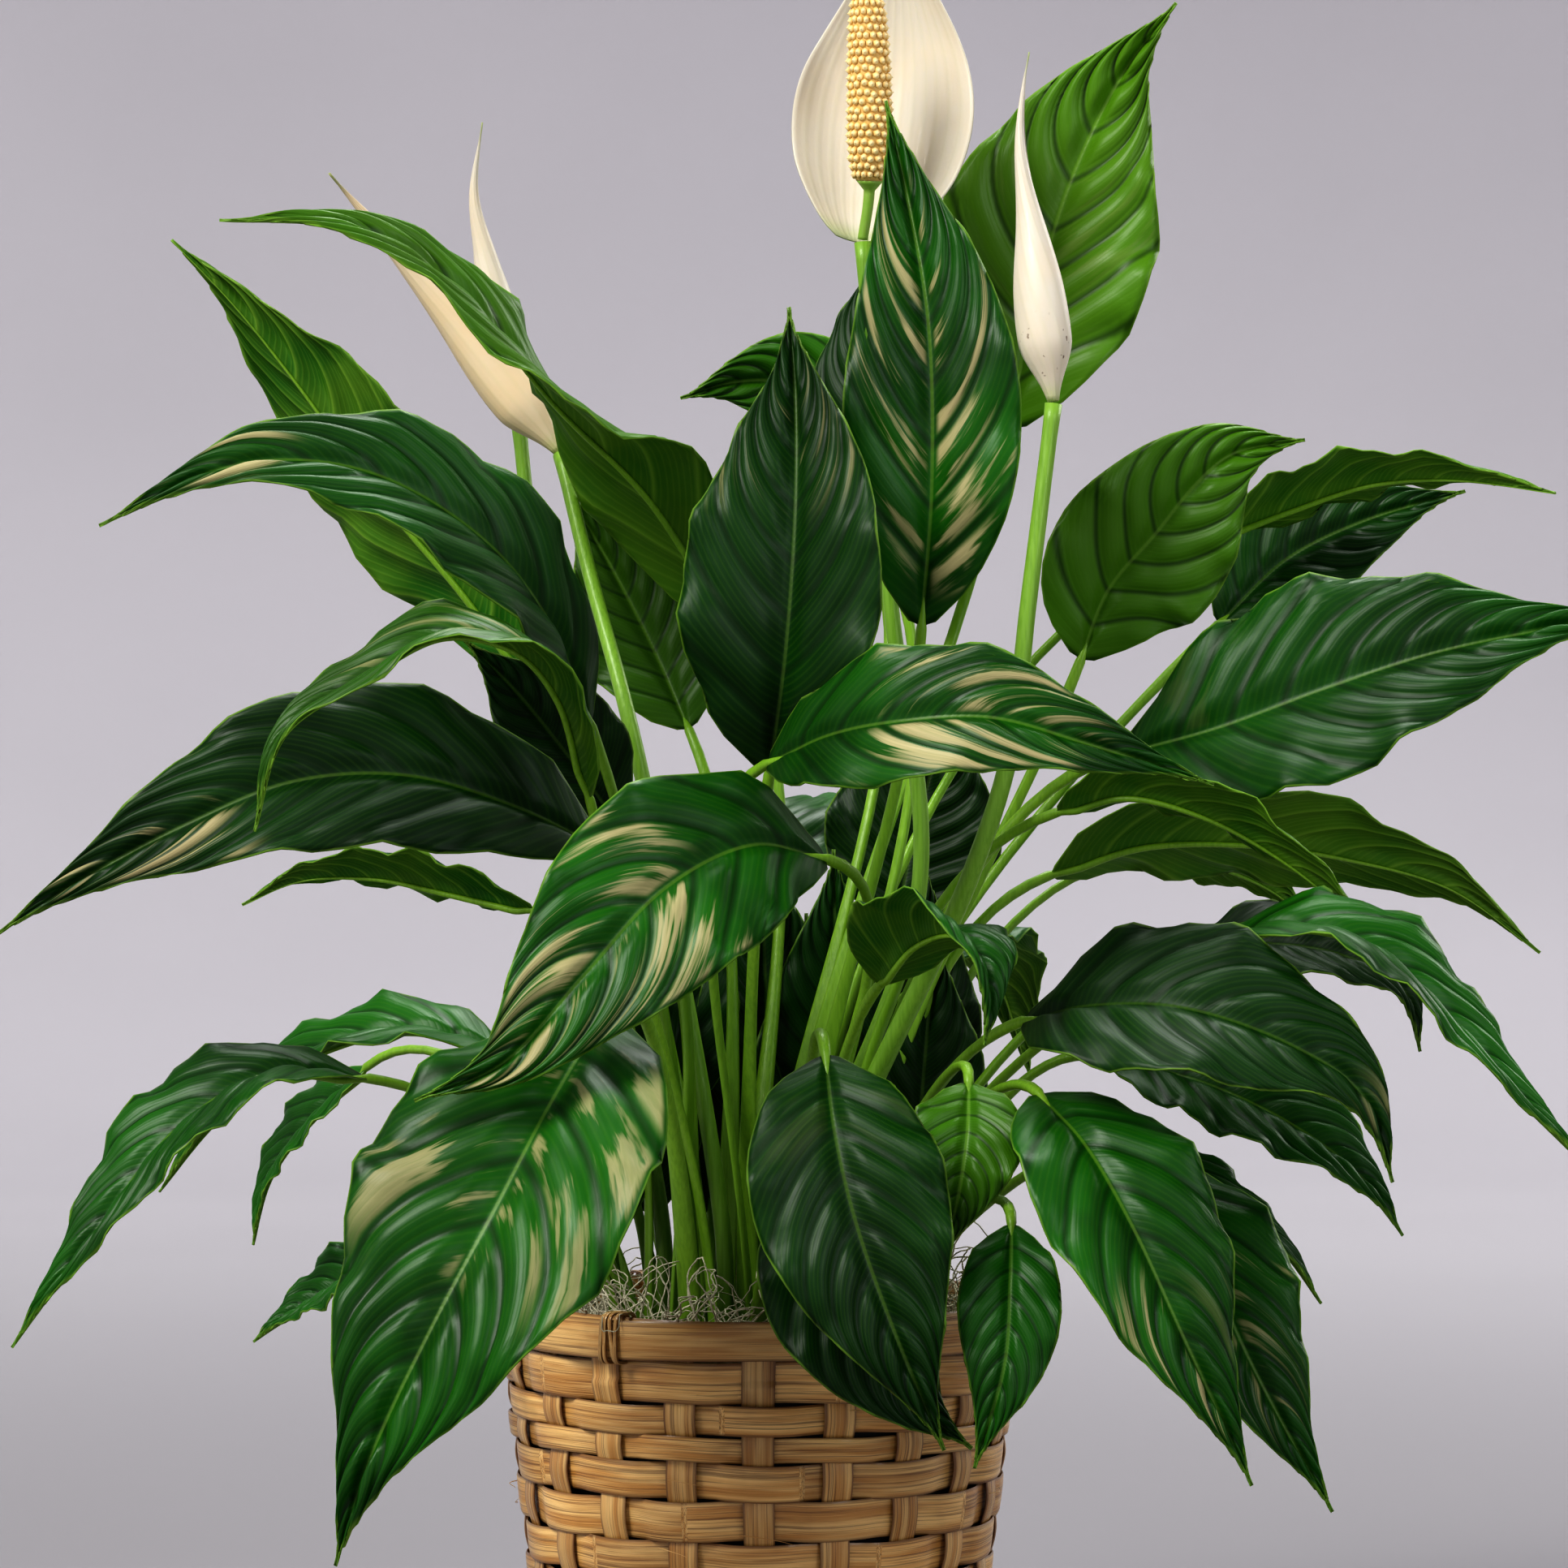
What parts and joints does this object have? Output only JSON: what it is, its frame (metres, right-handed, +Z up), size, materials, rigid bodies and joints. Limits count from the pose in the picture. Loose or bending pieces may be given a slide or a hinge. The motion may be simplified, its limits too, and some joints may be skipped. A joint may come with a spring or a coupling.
{
  "type": "potted peace lily",
  "caption": "Peace lily with arching glossy leaves, one open white flower and three furled ones, growing in soil and moss inside a woven bamboo basket.",
  "frame": {"origin": "middle of the underside of the basket, on the surface it stands on", "axes": "+Z is up, from the basket's foot to the top of the flower; -Y is the front, the side the open flower looks to; +X is to the right seen from the front"},
  "size_m": [0.5077, 0.4084, 0.6013],
  "materials": {
    "leaf": "glossy living leaf",
    "flower_stalk": "smooth fresh stem",
    "spathe": "soft satin petal",
    "spadix": "matt, knobbly",
    "bamboo": "varnished split bamboo",
    "lashing": "thin pale bamboo strip",
    "liner": "black moulded plastic",
    "soil": "loose dark compost",
    "moss": "dry curled moss strands"
  },
  "bodies": {
    "root": {"basket_body": "bamboo", "bud_inner_scape": "flower_stalk", "bud_inner_spathe": "spathe", "bud_outer_scape": "flower_stalk", "bud_outer_spathe": "spathe", "bud_right_scape": "flower_stalk", "bud_right_spathe": "spathe", "flower_open_scape": "flower_stalk", "flower_open_spadix": "spadix", "flower_open_spathe": "spathe", "leaf_back_mid": "leaf", "leaf_back_right": "leaf", "leaf_crown_back": "leaf", "leaf_crown_front": "leaf", "leaf_crown_left": "leaf", "leaf_crown_rear": "leaf", "leaf_crown_right": "leaf", "leaf_front_fold": "leaf", "leaf_front_gloss": "leaf", "leaf_front_left": "leaf", "leaf_front_left_low": "leaf", "leaf_front_low": "leaf", "leaf_front_low_under": "leaf", "leaf_front_mid": "leaf", "leaf_front_small": "leaf", "leaf_inner_back": "leaf", "leaf_left_arch": "leaf", "leaf_left_curl": "leaf", "leaf_left_high": "leaf", "leaf_left_inner": "leaf", "leaf_left_low_back": "leaf", "leaf_left_low_small": "leaf", "leaf_left_low_tip": "leaf", "leaf_left_shade": "leaf", "leaf_left_top": "leaf", "leaf_left_under": "leaf", "leaf_left_upper": "leaf", "leaf_left_wide": "leaf", "leaf_right_arch": "leaf", "leaf_right_back": "leaf", "leaf_right_dark": "leaf", "leaf_right_drape": "leaf", "leaf_right_edge": "leaf", "leaf_right_light": "leaf", "leaf_right_long": "leaf", "leaf_right_low": "leaf", "leaf_right_low_back": "leaf", "leaf_right_low_curl": "leaf", "leaf_right_low_gloss": "leaf", "leaf_right_under": "leaf", "leaf_right_upper": "leaf", "leaf_right_wide": "leaf", "liner_pot": "liner", "moss_mat": "moss", "rim_hoop_inner": "bamboo", "rim_hoop_outer": "bamboo", "rim_lashing_back": "lashing", "rim_lashing_front": "lashing", "rim_lashing_right": "lashing", "soil": "soil"}
  },
  "joints": []
}
